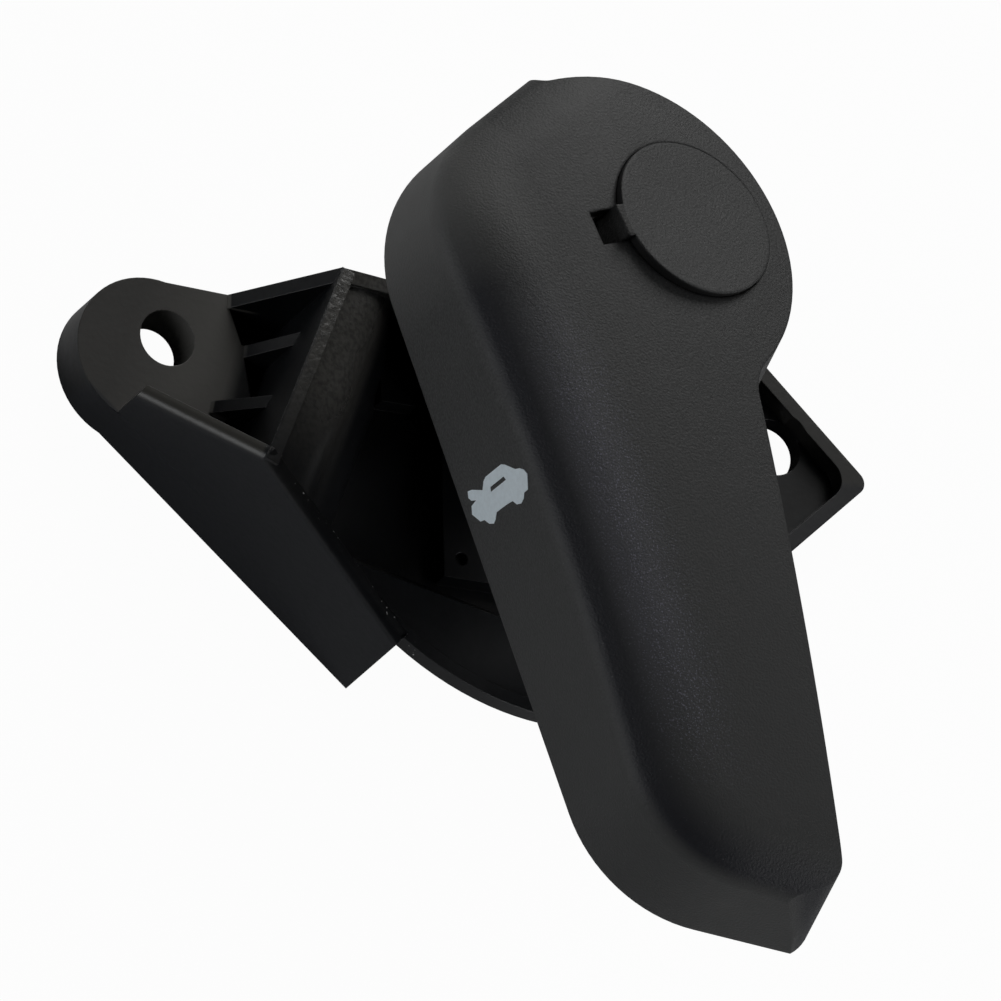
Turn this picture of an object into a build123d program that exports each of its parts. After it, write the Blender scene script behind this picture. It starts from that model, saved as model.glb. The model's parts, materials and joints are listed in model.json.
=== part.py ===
from build123d import *
import math
import os

os.makedirs("parts", exist_ok=True)

# Frame: millimetres. The mounting face is z = 0 and the origin is midway between the two
# fixing holes. +X runs along the row of holes and +Z along the pivot, towards the lever.

# Fixing holes and pivot
hole_pitch = 91.0
hole_r = 4.0
pivot_x, pivot_y = 4.4, 1.4

# Bracket walls and heights
skin = 2.0
ear_height = 7.0
ear_r = 10.8
ear_centre = (-47.9, -2.5)
pocket_floor = 2.5
shoulder_height = 25.4
shoulder_high_z = 22.3
step_height = 13.9
heel_height = 17.0
lip_fall, lip_fall_along = 0.295, 0.092
lip_height = 0.6
plate_thickness = 2.0
roll_out, dish_roll_r, dish_drop = 8.6, 8.0, 47.0
floor_edge, floor_edge_run, floor_flare = (-3.5, -29.0), (0.974, -0.225), 30.0
dish_floor = 3.0
tray_rim = 6.0
hollow_end = 64.0
tray_corner_r, tray_inner_r = 1.8, 3.0

# Corners of the bracket in plan, on its outer faces
side_start = (-56.4, -8.9)
shoulder_low = (-39.7, -23.6)
heel = (-16.9, -43.7)
arc_end = (-19.9, -41.0)
arc_middle = (-1.6, -47.3)
diagonal_start = (15.9, -46.4)
tray_right = (58.4, -4.6)
tray_top = (42.8, 10.8)
shoulder_high = (-26.6, 7.3)
top_start = (-46.5, 8.1)

# Pedestal, journal and what runs on them
pedestal_r = 13.0
collar_z = 34.2
neck_r = 11.5
neck_top = 44.0
journal_r = 7.0
journal_top = 56.3
running_gap = 0.06
screw_r = 2.85

screw_depth = 26.0
pad_top, pad_mark_r, pad_mark = 6.0, 0.9, (-2.3, -24.9)

# Return spring round the pedestal, and the end of the cable's sheath
wire_r = 0.8
coil_r, coil_start_z, coil_top_z, coil_turns = 14.4, 21.4, 32.0, 4.583
lower_leg_end, upper_leg_end = (18.8, -15.6, 21.4), (-0.05, -19.75, 37.0)
spring_post = (16.4, -14.0)
stay_centre, stay_top, stay_slot = (21.7, -23.1), 43.5, 5.0
cable_z = 38.0

# Cable arm on the neck
arm_bottom, arm_top, ring_top = 34.25, 41.5, 44.4
ring_r = 14.0
arm_half_width = 3.5
nipple_out, nipple_r, arm_end_r = 24.5, 3.1, 5.2
dog_width, dog_top = 6.0, 47.4

# Lever, in its own plan: length from the pivot to the tip, width towards the front
lever_angle = -70.5
rim_z = 48.5
lever_wall = 2.3
crown_z = 73.2
crown_length, crown_width = 40.0, -24.0
crown_long_r, crown_cross_r = 265.0, 120.0
shoulder_r, shoulder_spread, roll_r = 15.0, 4.4, 3.6
front_draft = 12.0
hub_r = 10.5
hub_bottom_z, hub_floor_z, hub_floor = 44.6, 54.0, 2.0
flange_r, flange_thickness = 15.2, 3.6
column_r = 14.0
lever_rib, rib_drop, rib_line = 1.8, 4.5, -20.0
cross_ribs = (30.0, 50.0, 70.0)
head_centre, head_r = (1.5, -11.0), 28.7
head_join = (26.2, 3.6)
front_tip = (97.0, -7.8)
lever_corners = (
    ((85.2, -37.2), 21.0),
    ((113.9, 25.0), 14.0),
    ((-41.9, 25.0), 10.0),
    ((-14.7, -37.2), 20.0),
)

# Cap over the pivot screw
cap_r = 11.8
cap_gap = 0.1
cap_top_z = 68.15
cap_rise_length, cap_rise_width = 0.185, -0.27
cap_wall = 1.6
pry_centre, pry_width, pry_reach, pry_floor_z = -0.75, 5.0, 3.7, 58.0
tongue_bottom_z, tongue_reach = 64.5, 0.9

# Screw and washer
washer_r, washer_thickness = 9.5, 1.2
screw_head_r, screw_head_height, screw_length = 5.5, 3.0, 22.0

length_dir = Vector(
    math.cos(math.radians(lever_angle)), math.sin(math.radians(lever_angle)), 0
)
width_dir = Vector(-length_dir.Y, length_dir.X, 0)
lever_plane = Plane(origin=(pivot_x, pivot_y, rim_z), x_dir=length_dir, z_dir=(0, 0, 1))

shoulder_dir = Vector(
    shoulder_high[0] - shoulder_low[0], shoulder_high[1] - shoulder_low[1], 0
).normalized()
fall_dir = Vector(shoulder_dir.Y, -shoulder_dir.X, 0)
lip_plane = Plane(
    origin=(shoulder_low[0], shoulder_low[1], shoulder_height),
    x_dir=shoulder_dir,
    z_dir=fall_dir * lip_fall + shoulder_dir * lip_fall_along + Vector(0, 0, 1),
)
lip_run = shoulder_dir - Vector(0, 0, lip_fall_along)
shoulder_section = Plane(
    origin=lip_plane.origin, x_dir=lip_run.cross(lip_plane.z_dir), z_dir=-lip_run
)
floor_section = Plane(
    origin=(floor_edge[0], floor_edge[1], dish_floor),
    x_dir=(-floor_edge_run[1], floor_edge_run[0], 0),
    z_dir=(floor_edge_run[0], floor_edge_run[1], 0),
)
steepest = (fall_dir * lip_fall + shoulder_dir * lip_fall_along).normalized()
hollow_plane = Plane(
    origin=Vector(shoulder_low[0], shoulder_low[1], 0) + steepest * hollow_end,
    x_dir=steepest,
    z_dir=(0, 0, 1),
)


def upright_wall(start, end, profile, thickness, rounding=0):
    """Wall whose outer face runs from start to end, with its elevation as a profile.

    Where a rounding is given, the long edges on top of the outer face get it.
    """
    run = Vector(end[0] - start[0], end[1] - start[1], 0).normalized()
    outward = Vector(run.Y, -run.X, 0)
    face = Plane(origin=(start[0], start[1], 0), x_dir=run, z_dir=outward)
    with BuildPart() as wall:
        with BuildSketch(face):
            with BuildLine():
                Polyline(*profile, close=True)
            make_face()
        extrude(amount=-thickness)
        if rounding > 0:
            outer = wall.faces().sort_by_distance(face.from_local_coords((10, 1, 0)))[0]
            tops = outer.edges().filter_by(lambda edge: edge.center().Z > ear_height + 2)
            fillet(tops.filter_by(lambda edge: edge.length > 10), radius=rounding)
    return wall.part


def dish_prism(inset, height):
    """The dish's plan, drawn in by inset and raised to a height."""
    with BuildPart() as prism:
        with BuildSketch() as plan:
            with BuildLine():
                Polyline(arc_end, shoulder_low, shoulder_high, tray_top, tray_right, diagonal_start)
                ThreePointArc(diagonal_start, arc_middle, arc_end)
            make_face()
            if inset > 0:
                offset(amount=-inset, kind=Kind.INTERSECTION)
            for corner in (tray_top, tray_right):
                fillet(
                    plan.vertices().sort_by_distance(corner)[0],
                    radius=tray_inner_r if inset > 0 else tray_corner_r,
                )
        extrude(amount=height)
    return prism.part


def above_lip(drop, floor):
    """Everything above the slanted lip, lowered by drop, and above a level floor."""
    with BuildPart() as region:
        with BuildSketch(lip_plane.offset(-drop)):
            Rectangle(400, 400)
        extrude(amount=80)
        with BuildSketch(Plane.XY.offset(floor)):
            Rectangle(400, 400)
        extrude(amount=80, mode=Mode.INTERSECT)
    return region.part


def deep_part(grown, base):
    """Deep part of the dish: past the roll by the shoulder and the slope by the flange."""
    reach = 80.0
    drop = math.radians(dish_drop)
    flare = math.tan(math.radians(floor_flare))
    roll_at = (roll_out, -lip_height)
    with BuildPart() as region:
        with BuildSketch(shoulder_section) as rolled:
            with BuildLine():
                Polyline(
                    (-20, -lip_height),
                    roll_at,
                    (roll_out + reach * math.cos(drop), -lip_height - reach * math.sin(drop)),
                    (160, -60),
                    (160, 80),
                    (-20, 80),
                    close=True,
                )
            make_face()
            fillet(rolled.vertices().sort_by_distance(roll_at)[0], radius=dish_roll_r)
            if grown > 0:
                offset(amount=grown)
        extrude(amount=120, both=True)
        with BuildSketch(floor_section):
            with BuildLine():
                Polyline((10 * flare, -10), (-60 * flare, 60), (120, 60), (120, -10), close=True)
            make_face()
            if grown > 0:
                offset(amount=grown)
        extrude(amount=120, both=True, mode=Mode.INTERSECT)
        with BuildSketch(Plane.XY.offset(base)):
            Rectangle(400, 400)
        extrude(amount=80, mode=Mode.INTERSECT)
    return region.part


# Hollow under the dish plate, round its deep part, open towards the curved edge
with BuildPart() as underside:
    add(dish_prism(skin, shoulder_height))
    with BuildSketch():
        with Locations((-1.0, -48.0)):
            Rectangle(40, 16)
    extrude(amount=shoulder_height)
    add(above_lip(lip_height + plate_thickness, 0), mode=Mode.SUBTRACT)
    with BuildSketch(hollow_plane):
        Rectangle(80, 200, align=(Align.MIN, Align.CENTER))
    extrude(amount=60, mode=Mode.SUBTRACT)
    add(deep_part(skin, 0), mode=Mode.SUBTRACT)

# Inside of the dish: a shallow recess within the lip, and the deep part
with BuildPart() as dish_inside:
    add(above_lip(lip_height, dish_floor))
    add(deep_part(0, dish_floor))
    add(dish_prism(skin, 60), mode=Mode.INTERSECT)

# Bracket: one moulding with an ear, a ribbed pocket, a slanted dish, a tray and a pedestal
with BuildPart() as bracket:
    add(dish_prism(0, shoulder_height + 4))
    add(above_lip(0, tray_rim), mode=Mode.SUBTRACT)
    add(underside.part, mode=Mode.SUBTRACT)
    add(dish_inside.part, mode=Mode.SUBTRACT)
    # Ear and the floor of the pocket
    with BuildSketch():
        with BuildLine():
            Polyline(side_start, shoulder_low, shoulder_high, top_start, close=True)
        make_face()
    extrude(amount=pocket_floor)
    with BuildSketch():
        with Locations(ear_centre):
            Circle(ear_r)
        with BuildLine():
            Polyline(side_start, (-43.5, -20.2), (-38.5, -12.0), (-33.3, -7.1))
            Polyline((-33.3, -7.1), (-34.6, 0.6), (-36.9, 7.3), top_start, side_start)
        make_face()
    extrude(amount=ear_height)

    # Side wall, shoulder wall and the wall over the pocket
    side_length = math.dist(side_start, heel)
    step_at = 4.6
    shoulder_at = math.dist(side_start, shoulder_low)
    strip = [(shoulder_at, 0), (side_length, 0), (side_length, 40), (shoulder_at, 40)]
    add(upright_wall(side_start, heel, strip, skin), mode=Mode.SUBTRACT)
    add(
        upright_wall(
            side_start,
            heel,
            [
                (0, 0),
                (0, ear_height),
                (step_at, ear_height),
                (step_at, step_height),
                (shoulder_at, shoulder_height + 0.2),
                (side_length, heel_height + 0.2),
                (side_length, 0),
            ],
            skin,
            1.5,
        )
    )
    shoulder_length = math.dist(shoulder_high, shoulder_low)
    add(
        upright_wall(
            shoulder_high,
            shoulder_low,
            [
                (0, 0),
                (0, shoulder_high_z + 0.2),
                (shoulder_length - 0.1, shoulder_height + 0.1),
                (shoulder_length - 0.1, 0),
            ],
            skin,
        )
    )
    top_length = math.dist(shoulder_high, top_start)
    add(
        upright_wall(
            shoulder_high,
            top_start,
            [(0, 0), (0, shoulder_high_z), (10.0, ear_height), (top_length, ear_height), (top_length, 0)],
            skin,
        )
    )

    # Gussets that fan from the ear to the shoulder wall
    for start, end, end_height in (
        ((-35.6, -1.0), (-29.4, -1.6), 16.0),
        ((-40.8, -9.7), (-33.8, -11.2), 15.0),
    ):
        gusset_length = math.dist(start, end)
        add(
            upright_wall(
                start,
                end,
                [(0, 0), (0, ear_height), (1.2, ear_height), (gusset_length, end_height), (gusset_length, 0)],
                1.8,
            )
        )

    # Pads on the floor, and the pedestal with a neck and the journal, bored for the screw
    with BuildSketch() as pads:
        with Locations((-6.3, 3.15)):
            Rectangle(14.8, 13.7)
        with Locations((1.8, -18.9)):
            Rectangle(13.4, 17.8)
    extrude(amount=pad_top)
    with BuildSketch(Plane.XY.offset(pad_top)):
        with Locations(pad_mark):
            Circle(pad_mark_r)
    extrude(amount=-1.0, mode=Mode.SUBTRACT)
    for radius, top in ((pedestal_r, collar_z), (neck_r, neck_top), (journal_r, journal_top)):
        with BuildSketch():
            with Locations((pivot_x, pivot_y)):
                Circle(radius)
        extrude(amount=top)
    with BuildSketch(Plane.XY.offset(journal_top)):
        with Locations((pivot_x, pivot_y)):
            Circle(screw_r + 0.05)
    extrude(amount=-screw_depth, mode=Mode.SUBTRACT)

    # Post for the spring's fixed end
    with BuildSketch():
        with Locations(spring_post):
            Circle(1.5)
    extrude(amount=24)

    # Stay that holds the end of the cable's sheath, with its slot open upwards
    with BuildSketch():
        with Locations(stay_centre):
            Rectangle(3.5, 14)
        with Locations((stay_centre[0] + 5, stay_centre[1] - 6), (stay_centre[0] + 5, stay_centre[1] + 6)):
            Rectangle(8, 2)
    extrude(amount=stay_top)
    with BuildSketch(Plane.XZ.offset(-stay_centre[1] - 20)):
        with BuildLine():
            Polyline(
                (stay_centre[0] + 2.5, stay_top),
                (stay_centre[0] + 12, 12),
                (stay_centre[0] + 12, stay_top),
                close=True,
            )
        make_face()
    extrude(amount=40, mode=Mode.SUBTRACT)
    with BuildSketch(Plane.YZ.offset(stay_centre[0] - 5)):
        with Locations((stay_centre[1], cable_z)):
            Circle(stay_slot / 2)
        with Locations((stay_centre[1], cable_z + 10)):
            Rectangle(stay_slot, 20)
    extrude(amount=20, mode=Mode.SUBTRACT)

    # Fixing holes
    with BuildSketch():
        with GridLocations(hole_pitch, 0, 2, 1):
            Circle(hole_r)
    extrude(amount=30, mode=Mode.SUBTRACT)
bracket.part.label = "bracket"
export_step(bracket.part, "parts/bracket.step")


def lever_plan(growth):
    """The lever's plan within its rear wall, grown or drawn in."""
    with BuildSketch(lever_plane) as plan:
        with BuildLine():
            Polyline(*[corner for corner, radius in lever_corners], close=True)
        make_face()
        for corner, radius in lever_corners:
            fillet(plan.vertices().sort_by_distance(corner)[0], radius=radius)
        if growth != 0:
            offset(amount=growth)
    return plan.sketch


def crown(inset):
    """Solid under the crowned top: an arc across the width, swept in an arc along the length."""
    section = Plane(
        origin=lever_plane.from_local_coords((crown_length, 0, 0)), x_dir=width_dir, z_dir=length_dir
    )
    apex = crown_z - rim_z - inset
    cross_r = crown_cross_r - inset
    left, right = crown_width - 36, crown_width + 60
    left_z = apex - cross_r + math.sqrt(cross_r**2 - 36**2)
    right_z = apex - cross_r + math.sqrt(cross_r**2 - 60**2)
    swing = 24
    with BuildPart() as form:
        with BuildSketch(section):
            with BuildLine():
                ThreePointArc((left, left_z), (crown_width, apex), (right, right_z))
                Polyline((right, right_z), (right, -30), (left, -30), (left, left_z))
            make_face()
        axis_point = section.from_local_coords((0, crown_z - rim_z - crown_long_r, 0))
        turning = Axis(axis_point, width_dir)
        revolve(axis=turning, revolution_arc=2 * swing)
    return form.part.rotate(turning, -swing)


def lever_form(inset):
    """The lever's outer form, or its inside when drawn in by the wall."""
    with BuildPart() as form:
        extrude(lever_plan(shoulder_spread - inset), amount=40)
        add(crown(inset), mode=Mode.INTERSECT)
        crown_face = form.faces().sort_by(Axis.Z)[-1]
        fillet(crown_face.edges(), radius=shoulder_r - inset)
        # Walls drawn in from the shoulder, with a tight roll between the two
        extrude(lever_plan(-inset), amount=40, mode=Mode.INTERSECT)
        if inset == 0:
            upright = form.faces().filter_by(lambda face: abs(face.normal_at().Z) < 0.01)
            wall_tops = upright.edges().filter_by(lambda edge: edge.center().Z > rim_z + 14)
            fillet(wall_tops, radius=roll_r)
        # Front side: crisp top edge, walls that spread towards the rim
        with BuildSketch(lever_plane) as front:
            with BuildLine():
                head = CenterArc(head_centre, head_r, 30.6, 149.4)
                Polyline(
                    head @ 1,
                    (-60, head_centre[1]),
                    (-60, -60),
                    (front_tip[0], -60),
                    front_tip,
                    head @ 0,
                )
            make_face()
            fillet(front.vertices().sort_by_distance(front_tip)[0], radius=7.0)
            fillet(front.vertices().sort_by_distance(head_join)[0], radius=3.0)
            if inset > 0:
                offset(amount=-inset)
        extrude(amount=40, taper=front_draft, mode=Mode.INTERSECT)
    return form.part


lever_outside = lever_form(0)
lever_inside = lever_form(lever_wall)

# Ribs under the lever's crown
with BuildPart() as ribs:
    with BuildSketch(lever_plane.offset(rib_drop)):
        with Locations((50, rib_line)):
            Rectangle(100, lever_rib)
        for place in cross_ribs:
            with Locations((place, -20)):
                Rectangle(lever_rib, 80)
    extrude(amount=30)
    add(lever_inside, mode=Mode.INTERSECT)

# Hub column that rises from the hub floor to the crown, for the cap's seat
with BuildPart() as column:
    with BuildSketch(lever_plane.offset(hub_floor_z - rim_z)):
        Circle(column_r)
    extrude(amount=30)
    add(lever_outside, mode=Mode.INTERSECT)

# Lever: a crowned shell with a hub that runs on the journal
with BuildPart() as lever:
    add(lever_outside)
    add(lever_inside, mode=Mode.SUBTRACT)
    add(ribs.part)
    add(column.part)
    with BuildSketch(lever_plane.offset(hub_bottom_z - rim_z)):
        Circle(hub_r)
    extrude(amount=hub_floor_z - hub_bottom_z)
    with BuildSketch(lever_plane.offset(hub_bottom_z - rim_z)):
        Circle(flange_r)
        Rectangle(2 * flange_r + 2, dog_width + 0.2, mode=Mode.SUBTRACT)
        Circle(hub_r)
    extrude(amount=flange_thickness)
    with BuildSketch(lever_plane.offset(hub_floor_z + hub_floor - rim_z)):
        Circle(cap_r + cap_gap)
    extrude(amount=30, mode=Mode.SUBTRACT)
    with BuildSketch(lever_plane.offset(hub_bottom_z - rim_z)):
        Circle(journal_r + running_gap)
    extrude(amount=20, mode=Mode.SUBTRACT)
    # Slot beside the cap, for prising it out
    with BuildSketch(lever_plane.offset(pry_floor_z - rim_z)):
        with Locations((pry_centre, -cap_r - 0.5)):
            Rectangle(pry_width, pry_reach, align=(Align.CENTER, Align.MAX))
        with Locations((pry_centre, -cap_r + 2)):
            Rectangle(pry_width, 4, align=(Align.CENTER, Align.MAX))
    extrude(amount=30, mode=Mode.SUBTRACT)
lever.part.label = "lever"
export_step(lever.part, "parts/lever.step")

# Cap over the pivot screw: a cup with a slanted top and a tongue towards the slot
cap_plane = Plane(
    origin=(pivot_x, pivot_y, cap_top_z),
    x_dir=length_dir,
    z_dir=Vector(0, 0, 1) - length_dir * cap_rise_length - width_dir * cap_rise_width,
)
with BuildPart() as pivot_cap:
    with BuildSketch(lever_plane.offset(hub_floor_z + hub_floor - rim_z)):
        Circle(cap_r)
    extrude(amount=25)
    with BuildSketch(lever_plane.offset(tongue_bottom_z - rim_z)):
        with Locations((pry_centre, -cap_r + 2)):
            Rectangle(pry_width - 0.2, tongue_reach + 2, align=(Align.CENTER, Align.MAX))
    extrude(amount=15)
    with BuildSketch(cap_plane):
        Rectangle(60, 60)
    extrude(amount=40, mode=Mode.SUBTRACT)
    with BuildPart(mode=Mode.PRIVATE) as cap_inside:
        with BuildSketch(lever_plane.offset(hub_floor_z + hub_floor - rim_z - 1)):
            Circle(cap_r - cap_wall)
        extrude(amount=25)
        with BuildSketch(cap_plane.offset(-cap_wall)):
            Rectangle(60, 60)
        extrude(amount=40, mode=Mode.SUBTRACT)
    add(cap_inside.part, mode=Mode.SUBTRACT)
pivot_cap.part.label = "pivot_cap"
export_step(pivot_cap.part, "parts/pivot_cap.step")

# Washer that keeps the lever on the journal
with BuildPart() as washer:
    with BuildSketch(Plane.XY.offset(journal_top)):
        with Locations((pivot_x, pivot_y)):
            Circle(washer_r)
            Circle(screw_r + 0.35, mode=Mode.SUBTRACT)
    extrude(amount=washer_thickness)
washer.part.label = "washer"
export_step(washer.part, "parts/washer.step")

# Pan head screw in the pedestal
with BuildPart() as pivot_screw:
    with BuildSketch(Plane.XY.offset(journal_top + washer_thickness)):
        with Locations((pivot_x, pivot_y)):
            Circle(screw_head_r)
    extrude(amount=screw_head_height)
    fillet(pivot_screw.edges().sort_by(Axis.Z)[-1], radius=1.4)
    with BuildSketch(Plane.XY.offset(journal_top + washer_thickness)):
        with Locations((pivot_x, pivot_y)):
            Circle(screw_r)
    extrude(amount=-screw_length)
    chamfer(pivot_screw.edges().sort_by(Axis.Z)[0], length=0.8)
pivot_screw.part.label = "pivot_screw"
export_step(pivot_screw.part, "parts/pivot_screw.step")

# Cable arm: a ring on the neck, two dogs into the hub's flange and a seat for the cable's nipple
neck_plane = Plane(origin=(pivot_x, pivot_y, arm_bottom))
with BuildPart() as cable_arm:
    with BuildSketch(neck_plane):
        Circle(ring_r)
    extrude(amount=ring_top - arm_bottom)
    with BuildSketch(neck_plane):
        with Locations((0, -nipple_out / 2)):
            Rectangle(2 * arm_half_width, nipple_out)
        with Locations((0, -nipple_out)):
            Circle(arm_end_r)
    extrude(amount=arm_top - arm_bottom)
    with BuildSketch(lever_plane.offset(ring_top - rim_z)):
        Circle(flange_r - 0.4)
        Rectangle(2 * flange_r, dog_width, mode=Mode.INTERSECT)
        Circle(hub_r + 1, mode=Mode.SUBTRACT)
    extrude(amount=dog_top - ring_top)
    with BuildSketch(neck_plane):
        Circle(neck_r + running_gap)
    extrude(amount=20, mode=Mode.SUBTRACT)
    with BuildSketch(neck_plane):
        with Locations((0, -nipple_out)):
            Circle(nipple_r)
        with Locations((5, -nipple_out)):
            Rectangle(10, 1.8)
    extrude(amount=20, mode=Mode.SUBTRACT)
cable_arm.part.label = "cable_arm"
export_step(cable_arm.part, "parts/cable_arm.step")

# Torsion spring round the pedestal, one end on the post and the other on the cable arm
coil_height = coil_top_z - coil_start_z
with BuildPart() as return_spring:
    with BuildLine() as coil:
        Helix(
            coil_height / coil_turns,
            coil_height,
            coil_r,
            center=(pivot_x, pivot_y, coil_start_z),
        )
    with BuildSketch(Plane(origin=coil.line @ 0, z_dir=coil.line % 0)):
        Circle(wire_r)
    sweep(path=coil.line, is_frenet=True)
    for joint, leg_end in ((coil.line @ 0, lower_leg_end), (coil.line @ 1, upper_leg_end)):
        leg = Vector(*leg_end) - joint
        with Locations(joint):
            Sphere(wire_r)
        with BuildSketch(Plane(origin=joint, z_dir=leg)):
            Circle(wire_r)
        extrude(amount=leg.length)
return_spring.part.label = "return_spring"
export_step(return_spring.part, "parts/return_spring.step")
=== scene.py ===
import bpy
import bmesh
import json
import math
from mathutils import Matrix, Vector

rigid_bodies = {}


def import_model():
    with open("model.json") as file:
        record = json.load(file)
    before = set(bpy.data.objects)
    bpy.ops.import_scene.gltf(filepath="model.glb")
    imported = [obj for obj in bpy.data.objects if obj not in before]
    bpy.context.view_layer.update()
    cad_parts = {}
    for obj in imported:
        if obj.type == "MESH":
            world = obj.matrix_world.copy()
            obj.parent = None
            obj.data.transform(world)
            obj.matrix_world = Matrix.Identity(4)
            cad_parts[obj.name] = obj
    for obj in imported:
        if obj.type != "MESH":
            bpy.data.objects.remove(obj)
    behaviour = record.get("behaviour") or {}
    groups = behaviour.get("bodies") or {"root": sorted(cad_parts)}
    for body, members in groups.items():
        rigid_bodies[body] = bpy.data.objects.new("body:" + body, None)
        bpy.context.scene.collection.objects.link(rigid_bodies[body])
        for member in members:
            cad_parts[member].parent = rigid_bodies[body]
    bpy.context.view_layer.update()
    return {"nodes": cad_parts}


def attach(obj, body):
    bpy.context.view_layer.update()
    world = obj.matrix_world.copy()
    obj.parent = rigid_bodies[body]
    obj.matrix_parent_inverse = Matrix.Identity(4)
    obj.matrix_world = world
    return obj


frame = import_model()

bpy.context.scene.view_settings.view_transform = "Standard"
print("frame loaded")

# The lever's own directions: its length from the pivot to the tip, its width towards the front
pivot = Vector((0.0044, 0.0014, 0.0))
leverAngle = math.radians(-70.5)
lengthWay = Vector((math.cos(leverAngle), math.sin(leverAngle), 0.0))
widthWay = Vector((-lengthWay.y, lengthWay.x, 0.0))


def onLever(length, width, height):
    # millimetres in the lever's directions to metres in the frame
    flat = pivot + lengthWay * (length / 1000) + widthWay * (width / 1000)
    return flat + Vector((0, 0, height / 1000))


def deselectAll():
    for thing in bpy.context.view_layer.objects:
        thing.select_set(False)
    bpy.context.view_layer.objects.active = None


# Camera: a long lens from far off, level with none of the walls, rolled as in the photograph
cameraSet = {
    "lookAt": (-0.0120, -0.0311, 0.0400),
    "distance": 6.0,
    "fieldWidth": 0.1335,
    "sensor": 36.0,
    "right": (0.9118, -0.0160, 0.4115),
    "up": (-0.1447, 0.9231, 0.3575),
    "clip": (0.1, 50.0),
}


def addCamera():
    right = Vector(cameraSet["right"]).normalized()
    back = right.cross(Vector(cameraSet["up"])).normalized()
    up = back.cross(right)
    place = Vector(cameraSet["lookAt"]) + back * cameraSet["distance"]
    turn = Matrix((right, up, back)).transposed().to_euler()
    deselectAll()
    bpy.ops.object.camera_add(location=place, rotation=turn)
    camera = bpy.context.active_object
    camera.name = "photoCamera"
    camera.data.sensor_width = cameraSet["sensor"]
    camera.data.lens = cameraSet["sensor"] * cameraSet["distance"] / cameraSet["fieldWidth"]
    camera.data.clip_start = cameraSet["clip"][0]
    camera.data.clip_end = cameraSet["clip"][1]
    bpy.context.scene.camera = camera


addCamera()
print("camera placed")


def newMaterial(name):
    material = bpy.data.materials.new(name)
    material.use_nodes = True
    tree = material.node_tree
    tree.nodes.clear()
    output = tree.nodes.new("ShaderNodeOutputMaterial")
    return material, tree, output


def setSocket(tree, socket, value):
    # the value is a number, a colour or the socket of another node
    if isinstance(value, bpy.types.NodeSocket):
        tree.links.new(value, socket)
    else:
        socket.default_value = value


def mathNode(tree, operation, first, second=0.0):
    result = tree.nodes.new("ShaderNodeMath")
    result.operation = operation
    setSocket(tree, result.inputs[0], first)
    setSocket(tree, result.inputs[1], second)
    return result.outputs[0]


def together(tree, *shares):
    # the product of the shares, 1 only where all of them are
    product = shares[0]
    for share in shares[1:]:
        product = mathNode(tree, "MULTIPLY", product, share)
    return product


def rangeNode(tree, source, limits, toLow, toHigh):
    span = tree.nodes.new("ShaderNodeMapRange")
    span.inputs["From Min"].default_value = limits[0]
    span.inputs["From Max"].default_value = limits[1]
    span.inputs["To Min"].default_value = toLow
    span.inputs["To Max"].default_value = toHigh
    tree.links.new(source, span.inputs["Value"])
    return span.outputs["Result"]


def rises(tree, source, limits):
    return rangeNode(tree, source, limits, 0, 1)


def falls(tree, source, limits):
    return rangeNode(tree, source, limits, 1, 0)


def between(tree, source, limits):
    # 1 from the end of the first pair to the start of the second
    return together(tree, rises(tree, source, limits[0]), falls(tree, source, limits[1]))


def mixColour(tree, share, first, second):
    mix = tree.nodes.new("ShaderNodeMix")
    mix.data_type = "RGBA"
    setSocket(tree, mix.inputs["Factor"], share)
    setSocket(tree, mix.inputs["A"], first)
    setSocket(tree, mix.inputs["B"], second)
    return mix.outputs["Result"]


def noiseNode(tree, place, size, detail):
    noise = tree.nodes.new("ShaderNodeTexNoise")
    noise.inputs["Scale"].default_value = 1.0 / size
    noise.inputs["Detail"].default_value = detail
    tree.links.new(place, noise.inputs["Vector"])
    return noise.outputs["Fac"]


def vectorNode(tree, operation, first, second):
    result = tree.nodes.new("ShaderNodeVectorMath")
    result.operation = operation
    tree.links.new(first, result.inputs[0])
    result.inputs[1].default_value = tuple(second)
    return result.outputs


def distancePast(tree, place, point, way):
    # metres beyond a plane through point, along way
    shift = vectorNode(tree, "SUBTRACT", place, point)["Vector"]
    return vectorNode(tree, "DOT_PRODUCT", shift, way)["Value"]


def fromAxis(tree, place, centre):
    # metres from an upright axis
    flat = vectorNode(tree, "MULTIPLY", place, (1, 1, 0))["Vector"]
    return vectorNode(tree, "DISTANCE", flat, centre)["Value"]


def heightOf(tree, place):
    return distancePast(tree, place, (0, 0, 0), (0, 0, 1))


def shaded(colour, share):
    return tuple(part * share for part in colour[:3]) + (1,)


# Studio: pale floor, dim sky, soft boxes behind, above, in front and on the left, none by the camera
studioSet = {
    "floorColour": (0.86, 0.86, 0.86, 1.0),
    "floorSize": 4.0,
    "floorHeight": -0.0002,
    "floorWhite": 0.97,
    "skyColour": (0.95, 0.97, 1.0, 1),
    "skyStrength": 0.004,
    "lampSize": 0.9,
    "lampAim": (-0.005, -0.03, 0.04),
    "lamps": (
        # name, place, power, colour
        ("backBox", (0.446, 1.247, 0.686), 9.1, (1.0, 1.0, 0.99)),
        ("highBox", (0.520, 0.495, 1.344), 0.9, (1.0, 1.0, 0.99)),
        ("frontLowBox", (1.190, -0.780, 0.560), 7.3, (0.98, 0.99, 1.0)),
        ("leftLowBox", (-1.427, -0.329, 0.414), 6.0, (0.96, 0.98, 1.0)),
    ),
}


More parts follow.
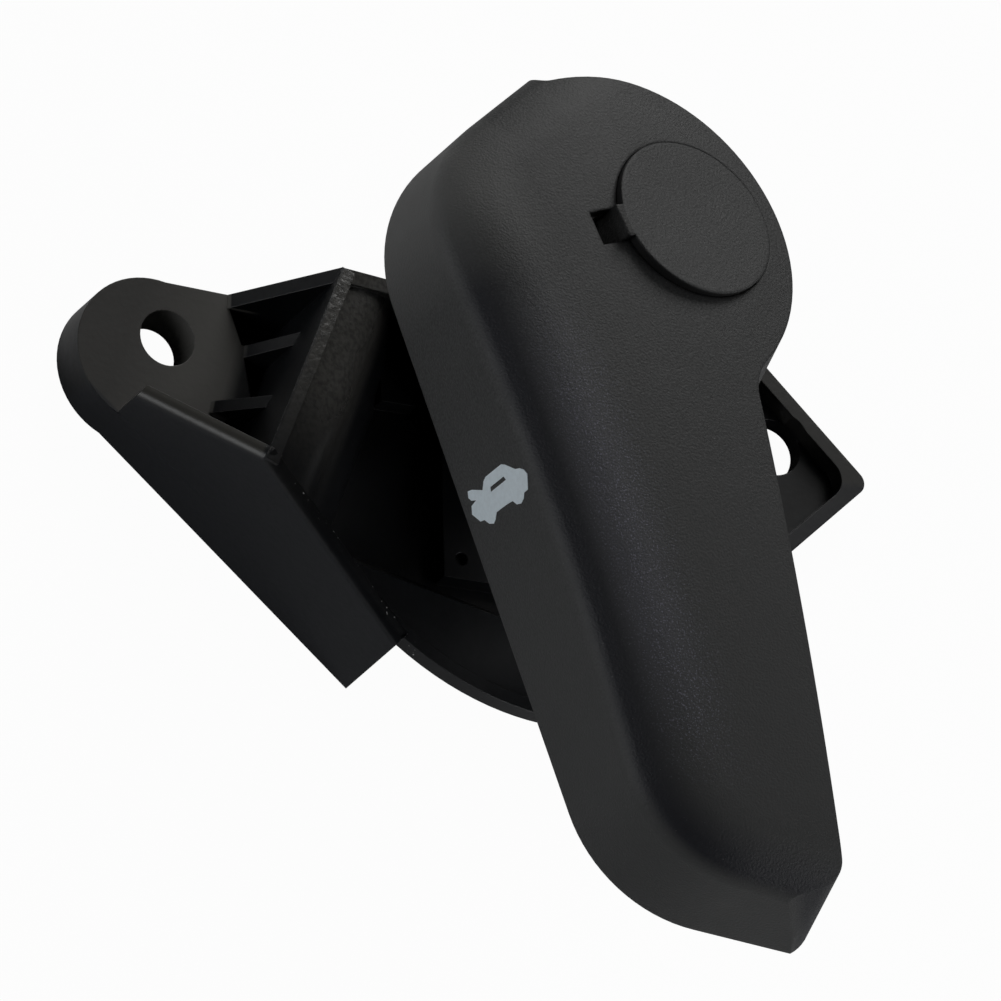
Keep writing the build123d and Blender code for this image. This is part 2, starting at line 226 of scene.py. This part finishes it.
def addFloor():
    deselectAll()
    bpy.ops.mesh.primitive_plane_add(
        size=studioSet["floorSize"], location=(0, 0, studioSet["floorHeight"])
    )
    floor = bpy.context.active_object
    floor.name = "studioFloor"
    material, tree, output = newMaterial("paleFloor")
    matte = tree.nodes.new("ShaderNodeBsdfDiffuse")
    matte.inputs["Color"].default_value = studioSet["floorColour"]
    white = tree.nodes.new("ShaderNodeEmission")
    white.inputs["Color"].default_value = (1, 1, 1, 1)
    white.inputs["Strength"].default_value = 1.0
    # the camera sees mostly plain white, with a trace of shadow
    paths = tree.nodes.new("ShaderNodeLightPath")
    share = mathNode(tree, "MULTIPLY", paths.outputs["Is Camera Ray"], studioSet["floorWhite"])
    mix = tree.nodes.new("ShaderNodeMixShader")
    tree.links.new(share, mix.inputs["Fac"])
    tree.links.new(matte.outputs[0], mix.inputs[1])
    tree.links.new(white.outputs[0], mix.inputs[2])
    tree.links.new(mix.outputs[0], output.inputs["Surface"])
    floor.data.materials.append(material)


def addLamps():
    aim = Vector(studioSet["lampAim"])
    for name, place, power, colour in studioSet["lamps"]:
        deselectAll()
        way = Vector(place) - aim
        bpy.ops.object.light_add(
            type="AREA", location=place, rotation=way.to_track_quat("Z", "Y").to_euler()
        )
        lamp = bpy.context.active_object
        lamp.name = name
        lamp.data.shape = "SQUARE"
        lamp.data.size = studioSet["lampSize"]
        lamp.data.energy = power
        lamp.data.color = colour


def addSky():
    # white to the camera, dim to everything else
    world = bpy.data.worlds.new("studioSky")
    bpy.context.scene.world = world
    world.use_nodes = True
    tree = world.node_tree
    tree.nodes.clear()
    output = tree.nodes.new("ShaderNodeOutputWorld")
    dim = tree.nodes.new("ShaderNodeBackground")
    dim.inputs["Color"].default_value = studioSet["skyColour"]
    dim.inputs["Strength"].default_value = studioSet["skyStrength"]
    white = tree.nodes.new("ShaderNodeBackground")
    white.inputs["Color"].default_value = (1, 1, 1, 1)
    white.inputs["Strength"].default_value = 1.0
    paths = tree.nodes.new("ShaderNodeLightPath")
    mix = tree.nodes.new("ShaderNodeMixShader")
    tree.links.new(paths.outputs["Is Camera Ray"], mix.inputs["Fac"])
    tree.links.new(dim.outputs[0], mix.inputs[1])
    tree.links.new(white.outputs[0], mix.inputs[2])
    tree.links.new(mix.outputs[0], output.inputs["Surface"])


addFloor()
addLamps()
addSky()
print("studio lit")

# Plastics. Lengths in a pattern are in metres, read from Object coordinates
plasticSet = {
    "ior": 1.5,
    "cloudSize": 0.011,
    "cloudDetail": 4.0,
    "grainDetail": 3.0,
    "grainSpread": (0.3, 0.7),
    "smoother": 0.06,
    "rougher": 0.08,
    "edgeSamples": 6,
    "speckDetail": 1.0,
    "speckSoftness": 0.06,
}
leverFinish = {
    "colour": (0.0290, 0.0295, 0.0300, 1),
    "paler": (0.0370, 0.0375, 0.0375, 1),
    "roughness": 0.56,
    "grainSize": 0.00034,
    "grainDepth": 0.00008,
    "mottle": 0.42,
    "edge": 0.0006,
}
bracketFinish = {
    "colour": (0.0050, 0.0055, 0.0068, 1),
    "paler": (0.0085, 0.0090, 0.0105, 1),
    "roughness": 0.34,
    "grainSize": 0.0011,
    "grainDepth": 0.00003,
    "mottle": 0.15,
    "edge": 0.0002,
}
armFinish = {
    "colour": (0.0050, 0.0055, 0.0060, 1),
    "paler": (0.0085, 0.0090, 0.0095, 1),
    "roughness": 0.40,
    "grainSize": 0.0006,
    "grainDepth": 0.00002,
    "mottle": 0.10,
    "edge": 0.0003,
}


def plasticMaterial(name, finish):
    # clouded, grained and with rounded edges; returns what a zone can be added to
    material, tree, output = newMaterial(name)
    shader = tree.nodes.new("ShaderNodeBsdfPrincipled")
    shader.inputs["IOR"].default_value = plasticSet["ior"]
    tree.links.new(shader.outputs[0], output.inputs["Surface"])
    place = tree.nodes.new("ShaderNodeTexCoord").outputs["Object"]
    cloud = noiseNode(tree, place, plasticSet["cloudSize"], plasticSet["cloudDetail"])
    grain = noiseNode(tree, place, finish["grainSize"], plasticSet["grainDetail"])
    tint = mixColour(tree, cloud, finish["colour"], finish["paler"])
    mottle = rangeNode(
        tree, grain, plasticSet["grainSpread"], 1 - finish["mottle"], 1 + finish["mottle"]
    )
    mottled = tree.nodes.new("ShaderNodeVectorMath")
    mottled.operation = "SCALE"
    tree.links.new(tint, mottled.inputs[0])
    tree.links.new(mottle, mottled.inputs["Scale"])
    colour = mottled.outputs["Vector"]
    tree.links.new(colour, shader.inputs["Base Color"])
    rounded = tree.nodes.new("ShaderNodeBevel")
    rounded.samples = plasticSet["edgeSamples"]
    rounded.inputs["Radius"].default_value = finish["edge"]
    bump = tree.nodes.new("ShaderNodeBump")
    bump.inputs["Strength"].default_value = 1.0
    bump.inputs["Distance"].default_value = finish["grainDepth"]
    tree.links.new(grain, bump.inputs["Height"])
    tree.links.new(rounded.outputs["Normal"], bump.inputs["Normal"])
    tree.links.new(bump.outputs["Normal"], shader.inputs["Normal"])
    smoothest = finish["roughness"] - plasticSet["smoother"]
    roughest = finish["roughness"] + plasticSet["rougher"]
    roughness = rangeNode(tree, cloud, (0, 1), smoothest, roughest)
    tree.links.new(roughness, shader.inputs["Roughness"])
    return {
        "material": material,
        "tree": tree,
        "place": place,
        "shader": shader,
        "bump": bump,
        "colour": colour,
        "roughness": roughness,
    }


def addSpecks(tree, place, colour, zone, specks):
    # sparse pale dots, where zone is 1
    dots = noiseNode(tree, place, specks["size"], plasticSet["speckDetail"])
    limits = (specks["density"], specks["density"] + plasticSet["speckSoftness"])
    share = together(tree, rises(tree, dots, limits), zone)
    return mixColour(tree, share, colour, specks["tone"])


# The lever's rear face, the round corner at its tip and the end face beyond, in metres
cornerSet = {
    "face": 0.0372,
    "centre": (0.07176, -0.0162),
    "radius": 0.021,
    "endWay": (0.908, -0.419),
    "endAlong": (0.419, 0.908),
}


def insideRearFace(tree, length, across):
    # metres inward from the rear face, round the corner and along the end face
    def maths(operation, first, second=0.0):
        return mathNode(tree, operation, first, second)

    def alongWay(way):
        return maths("ADD", maths("MULTIPLY", pastLength, way[0]), maths("MULTIPLY", pastAcross, way[1]))

    def swap(share, first, second):
        # first, or second where the share is 1
        return maths("ADD", first, maths("MULTIPLY", share, maths("SUBTRACT", second, first)))

    centre = cornerSet["centre"]
    pastLength = maths("SUBTRACT", length, centre[0])
    pastAcross = maths("SUBTRACT", across, centre[1])
    squares = maths("ADD", maths("POWER", pastLength, 2.0), maths("POWER", pastAcross, 2.0))
    rear = maths("ADD", across, cornerSet["face"])
    corner = maths("SUBTRACT", cornerSet["radius"], maths("SQRT", squares))
    end = maths("SUBTRACT", cornerSet["radius"], alongWay(cornerSet["endWay"]))
    inCorner = maths("GREATER_THAN", length, centre[0])
    onEnd = together(tree, maths("GREATER_THAN", alongWay(cornerSet["endAlong"]), 0.0), inCorner)
    return swap(onEnd, swap(inCorner, rear, corner), end)


# Zones of the lever: where each begins and ends along the lever from the pivot, across it towards
# the front, inward from its rear face, in height, or from the pivot's axis
leverZones = {
    "lowHalf": {"length": (0.020, 0.075), "tone": (0.0425, 0.0430, 0.0430, 1)},
    # painted shade on the roll
    "roll": {
        "inward": ((0.0002, 0.0011), (0.0022, 0.0062)),
        "length": (-0.010, 0.006),
        "tone": (0.0100, 0.0105, 0.0150, 1),
    },
    # painted light beside the roll
    "paintedLightBesideRoll": {
        "inward": ((0.0032, 0.0062), (0.0092, 0.0147)),
        "length": ((0.000, 0.025), (0.055, 0.075)),
        "tone": (0.0620, 0.0620, 0.0700, 1),
    },
    "paintedLightHeadSide": {
        "length": (-0.010, 0.004),
        "across": (-0.030, -0.022),
        "tone": (0.095, 0.095, 0.093, 1),
    },
    "crest": {
        "inward": ((0.0032, 0.0082), (0.0102, 0.0172)),
        "length": ((0.005, 0.020), (0.068, 0.080)),
        "specks": {"size": 0.00024, "density": 0.61, "tone": (0.15, 0.15, 0.19, 1)},
    },
    "everywhere": {
        "share": 0.6,
        "specks": {"size": 0.00024, "density": 0.74, "tone": (0.12, 0.12, 0.125, 1)},
    },
    "slot": {
        "reach": (0.0165, 0.0170),
        "across": (-0.0105, -0.0100),
        "length": ((-0.0036, -0.0033), (0.0018, 0.0021)),
        "height": (0.0683, 0.0688),
        "tone": (0.002, 0.002, 0.002, 1),
    },
}


def leverMaterial():
    plastic = plasticMaterial("grainedCharcoal", leverFinish)
    tree = plastic["tree"]
    place = plastic["place"]
    colour = plastic["colour"]
    across = distancePast(tree, place, pivot, widthWay)
    length = distancePast(tree, place, pivot, lengthWay)
    inward = insideRearFace(tree, length, across)
    # the low half is a little paler: painted light where the crown turns towards the tip, with some
    # finger wear
    zone = leverZones["lowHalf"]
    colour = mixColour(tree, rises(tree, length, zone["length"]), colour, zone["tone"])
    # painted shade: the roll over the rear face is coloured bluish black for the dark band it shows
    zone = leverZones["roll"]
    share = together(tree, between(tree, inward, zone["inward"]), rises(tree, length, zone["length"]))
    colour = mixColour(tree, share, colour, zone["tone"])
    # painted light beside it, pale and bluish, keeps the dark roll narrow
    zone = leverZones["paintedLightBesideRoll"]
    share = together(tree, between(tree, inward, zone["inward"]), between(tree, length, zone["length"]))
    colour = mixColour(tree, share, colour, zone["tone"])
    # painted light: the head's side away from the tip is paler
    zone = leverZones["paintedLightHeadSide"]
    share = together(tree, falls(tree, length, zone["length"]), falls(tree, across, zone["across"]))
    colour = mixColour(tree, share, colour, zone["tone"])
    # specks are thick on the crest and thin elsewhere
    zone = leverZones["crest"]
    share = together(tree, between(tree, inward, zone["inward"]), between(tree, length, zone["length"]))
    colour = addSpecks(tree, place, colour, share, zone["specks"])
    zone = leverZones["everywhere"]
    colour = addSpecks(tree, place, colour, zone["share"], zone["specks"])
    # painted shade: the walls of the slot beside the cap are nearly black
    zone = leverZones["slot"]
    share = together(
        tree,
        falls(tree, fromAxis(tree, place, pivot), zone["reach"]),
        falls(tree, across, zone["across"]),
        between(tree, length, zone["length"]),
        falls(tree, heightOf(tree, place), zone["height"]),
    )
    colour = mixColour(tree, share, colour, zone["tone"])
    tree.links.new(colour, plastic["shader"].inputs["Base Color"])
    return plastic["material"]


# Painted shade on the cap's side, from the pivot's axis
capSideShade = {"reach": (0.01170, 0.01176), "tone": (0.004, 0.004, 0.004, 1)}


def capMaterial():
    # the lever's plastic, with painted shade making the side nearly black
    plastic = plasticMaterial("grainedCapCharcoal", leverFinish)
    tree = plastic["tree"]
    side = rises(tree, fromAxis(tree, plastic["place"], pivot), capSideShade["reach"])
    colour = mixColour(tree, side, plastic["colour"], capSideShade["tone"])
    tree.links.new(colour, plastic["shader"].inputs["Base Color"])
    return plastic["material"]


# Zones of the bracket. The shoulder starts at its corner beside the side wall and runs along
# shoulder["way"]. Fall is the distance from it towards the dish, outward the one past the side wall
bracketZones = {
    "shoulder": {
        "corner": (-0.0397, -0.0236, 0),
        "way": (0.390, 0.921, 0),
        "fallWay": (0.921, -0.390, 0),
        "outwardWay": (-0.661, -0.750, 0),
    },
    "ear": {
        "from": (-0.0335, 0, 0),
        "way": (-0.96, 0.28, 0),
        "reach": (0.0, 0.002),
        "height": ((0.0068, 0.0070), (0.0074, 0.0076)),
        "paleFrom": (-0.0520, -0.0020, 0),
        "paleWay": (0.94, -0.34, 0),
        "paleReach": (0.0, 0.020),
        "tone": (0.034, 0.032, 0.0285, 1),
        "highlightTone": (0.120, 0.116, 0.106, 1),
        "rougher": 0.22,
    },
    "bore": {
        "centre": (-0.0455, 0, 0),
        "reach": (0.00402, 0.00406),
        "tone": (0.120, 0.117, 0.110, 1),
    },
    "roll": {
        "fall": ((0.0001, 0.0005), (0.0060, 0.0140)),
        "height": (0.0110, 0.0150),
        "along": (0.003, 0.018),
        "least": 0.1,
        "peelSize": 0.0007,
        "peelDetail": 3.0,
        "peelSpread": (0.35, 0.60),
        "peelLeast": 0.60,
        "tone": (0.098, 0.095, 0.088, 1),
        "deeper": 0.00006,
        "rougher": -0.10,
    },
    "wall": {"outward": (-0.0003, 0.0), "tone": (0.0095, 0.0105, 0.0135, 1)},
    "wallTop": {
        "outward": ((-0.0021, -0.0019), (-0.0003, -0.0001)),
        "fall": (-0.0006, -0.0002),
        "height": (0.0076, 0.0080),
        "tone": (0.0500, 0.0480, 0.0430, 1),
    },
    "nicks": {
        "outward": ((-0.0023, -0.0018), (-0.0014, -0.0011)),
        "fall": (-0.0010, 0.0),
        "height": (0.0080, 0.0090),
        "specks": {"size": 0.00045, "density": 0.70, "tone": (0.60, 0.60, 0.60, 1)},
    },
    "tray": {
        "right": (0.030, 0.032),
        "height": (0.0031, 0.0035),
        "front": (0.0045, 0.0055),
        "tone": (0.0300, 0.0290, 0.0265, 1),
        "frontTone": (0.0150, 0.0155, 0.0185, 1),
        "rougher": 0.06,
    },
}


def bracketMaterial():
    plastic = plasticMaterial("glossyBlack", bracketFinish)
    tree = plastic["tree"]
    place = plastic["place"]
    shoulder = bracketZones["shoulder"]
    along = distancePast(tree, place, shoulder["corner"], shoulder["way"])
    fall = distancePast(tree, place, shoulder["corner"], shoulder["fallWay"])
    outward = distancePast(tree, place, shoulder["corner"], shoulder["outwardWay"])
    height = heightOf(tree, place)
    # the ear's top is brownish, made pale by painted reflection of the light above, paler towards the
    # pocket as a painted highlight
    zone = bracketZones["ear"]
    earPast = distancePast(tree, place, zone["from"], zone["way"])
    ear = together(tree, rises(tree, earPast, zone["reach"]), between(tree, height, zone["height"]))
    palePast = distancePast(tree, place, zone["paleFrom"], zone["paleWay"])
    pale = rises(tree, palePast, zone["paleReach"])
    earTone = mixColour(tree, pale, zone["tone"], zone["highlightTone"])
    tone = mixColour(tree, ear, plastic["colour"], earTone)
    # the wall of its hole is pale too
    zone = bracketZones["bore"]
    bore = falls(tree, fromAxis(tree, place, zone["centre"]), zone["reach"])
    tone = mixColour(tree, bore, tone, zone["tone"])
    # painted highlight: the shoulder's roll towards the dish is paler, for its glossy reflection, with
    # orange peel
    zone = bracketZones["roll"]
    roll = together(
        tree,
        between(tree, fall, zone["fall"]),
        rises(tree, height, zone["height"]),
        rangeNode(tree, along, zone["along"], zone["least"], 1),
    )
    peel = noiseNode(tree, place, zone["peelSize"], zone["peelDetail"])
    peelShare = rangeNode(tree, peel, zone["peelSpread"], zone["peelLeast"], 1)
    tone = mixColour(tree, together(tree, roll, peelShare), tone, zone["tone"])
    depth = mathNode(tree, "ADD", together(tree, roll, zone["deeper"]), bracketFinish["grainDepth"])
    tree.links.new(depth, plastic["bump"].inputs["Distance"])
    # painted reflection: the side wall is a little paler and bluish
    zone = bracketZones["wall"]
    tone = mixColour(tree, rises(tree, outward, zone["outward"]), tone, zone["tone"])
    # its top beside the pocket is brownish
    zone = bracketZones["wallTop"]
    wallTop = together(
        tree,
        between(tree, outward, zone["outward"]),
        falls(tree, fall, zone["fall"]),
        rises(tree, height, zone["height"]),
    )
    tone = mixColour(tree, wallTop, tone, zone["tone"])
    # its top beside the dish has pale nicks
    zone = bracketZones["nicks"]
    nicks = together(
        tree,
        between(tree, outward, zone["outward"]),
        rises(tree, fall, zone["fall"]),
        rises(tree, height, zone["height"]),
    )
    tone = addSpecks(tree, place, tone, nicks, zone["specks"])
    # the tray's walls are dull, brownish behind and bluish in front
    zone = bracketZones["tray"]
    right = distancePast(tree, place, (0, 0, 0), (1, 0, 0))
    front = distancePast(tree, place, (0, 0, 0), (0, -1, 0))
    tray = together(tree, rises(tree, right, zone["right"]), rises(tree, height, zone["height"]))
    trayTone = mixColour(tree, rises(tree, front, zone["front"]), zone["tone"], zone["frontTone"])
    tone = mixColour(tree, tray, tone, trayTone)
    tree.links.new(tone, plastic["shader"].inputs["Base Color"])
    # the ear and the tray are rougher, the roll is smoother
    roughness = plastic["roughness"]
    for name, share in (("ear", ear), ("tray", tray), ("roll", roll)):
        change = together(tree, share, bracketZones[name]["rougher"])
        roughness = mathNode(tree, "ADD", roughness, change)
    tree.links.new(roughness, plastic["shader"].inputs["Roughness"])
    return plastic["material"]


metalSet = {
    "zinc": {"colour": (0.55, 0.55, 0.56, 1), "roughness": 0.32},
    "wire": {"colour": (0.30, 0.30, 0.31, 1), "roughness": 0.35},
    "stainSize": 1 / 700,
    "stainDetail": 5.0,
    "stainShade": 0.7,
    "smoother": 0.08,
    "rougher": 0.12,
}


def metalMaterial(name, metal):
    material, tree, output = newMaterial(name)
    shader = tree.nodes.new("ShaderNodeBsdfPrincipled")
    shader.inputs["Metallic"].default_value = 1.0
    tree.links.new(shader.outputs[0], output.inputs["Surface"])
    place = tree.nodes.new("ShaderNodeTexCoord").outputs["Object"]
    stain = noiseNode(tree, place, metalSet["stainSize"], metalSet["stainDetail"])
    tint = mixColour(tree, stain, metal["colour"], shaded(metal["colour"], metalSet["stainShade"]))
    tree.links.new(tint, shader.inputs["Base Color"])
    smoothest = metal["roughness"] - metalSet["smoother"]
    roughest = metal["roughness"] + metalSet["rougher"]
    tree.links.new(rangeNode(tree, stain, (0, 1), smoothest, roughest), shader.inputs["Roughness"])
    return material


leverPlastic = leverMaterial()
bracketPlastic = bracketMaterial()
capPlastic = capMaterial()
armPlastic = plasticMaterial("armBlack", armFinish)["material"]
zincSteel = metalMaterial("zincPlated", metalSet["zinc"])
springSteel = metalMaterial("springWire", metalSet["wire"])


def dress(node, material):
    mesh = frame["nodes"][node].data
    if len(mesh.materials) == 0:
        mesh.materials.append(material)
    for number in range(len(mesh.materials)):
        mesh.materials[number] = material


dress("lever", leverPlastic)
dress("pivot_cap", capPlastic)
dress("bracket", bracketPlastic)
dress("cable_arm", armPlastic)
dress("washer", zincSteel)
dress("pivot_screw", zincSteel)
dress("return_spring", springSteel)
print("finishes on")

# Sign on the lever's rear face: a car seen from the side with its hood up. In millimetres, the
# points along the lever and in height
signSet = {
    "face": -37.2,
    "proud": 0.06,
    "sunk": 0.05,
    "outline": (
        (26.2, 51.3), (26.4, 52.4), (27.5, 55.1), (26.6, 56.1), (26.3, 57.0), (26.4, 61.9),
        (26.8, 62.8), (28.3, 65.0), (28.6, 66.1), (29.2, 67.1), (30.0, 67.6), (31.8, 66.4),
        (31.8, 65.2), (32.4, 64.6), (32.7, 63.5), (32.4, 62.4), (31.6, 61.6), (31.4, 59.4),
        (31.3, 56.7), (32.1, 55.7), (32.3, 55.0), (31.9, 53.9), (31.0, 53.0), (30.8, 51.9),
        (29.2, 50.4), (28.2, 51.0), (28.0, 52.6), (27.6, 51.4), (27.0, 50.9),
    ),
    "window": ((27.9, 57.3), (28.5, 57.0), (28.6, 61.8), (28.0, 61.5)),
    "colour": (0.82, 0.92, 0.98, 1),
    "roughness": 0.6,
    "wearSize": 1 / 1500,
    "wearDetail": 3.0,
    "wearShade": 0.8,
}


def signMaterial():
    material, tree, output = newMaterial("signInk")
    shader = tree.nodes.new("ShaderNodeBsdfPrincipled")
    shader.inputs["Roughness"].default_value = signSet["roughness"]
    place = tree.nodes.new("ShaderNodeTexCoord").outputs["Object"]
    wear = noiseNode(tree, place, signSet["wearSize"], signSet["wearDetail"])
    tint = mixColour(tree, wear, signSet["colour"], shaded(signSet["colour"], signSet["wearShade"]))
    tree.links.new(tint, shader.inputs["Base Color"])
    tree.links.new(shader.outputs[0], output.inputs["Surface"])
    return material


def addSign():
    # a filled outline with a window, a little proud of the face and made thick inwards
    shape = bmesh.new()
    edges = []
    across = signSet["face"] - signSet["proud"]
    for points in (signSet["outline"], signSet["window"]):
        ring = [shape.verts.new(onLever(length, across, height)) for length, height in points]
        edges += [shape.edges.new(pair) for pair in zip(ring, ring[1:] + ring[:1])]
    bmesh.ops.triangle_fill(shape, use_beauty=True, edges=edges)
    mesh = bpy.data.meshes.new("hoodSign")
    shape.to_mesh(mesh)
    shape.free()
    sign = bpy.data.objects.new("hoodSign", mesh)
    bpy.context.scene.collection.objects.link(sign)
    deselectAll()
    sign.select_set(True)
    bpy.context.view_layer.objects.active = sign
    inward = widthWay * (signSet["proud"] + signSet["sunk"]) / 1000
    bpy.ops.object.mode_set(mode="EDIT")
    bpy.ops.mesh.select_all(action="SELECT")
    bpy.ops.mesh.extrude_region_move(TRANSFORM_OT_translate={"value": tuple(inward)})
    bpy.ops.mesh.select_all(action="SELECT")
    bpy.ops.mesh.normals_make_consistent(inside=False)
    bpy.ops.object.mode_set(mode="OBJECT")
    sign.data.materials.append(signMaterial())
    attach(sign, "swing_lever")


addSign()
print("sign drawn")
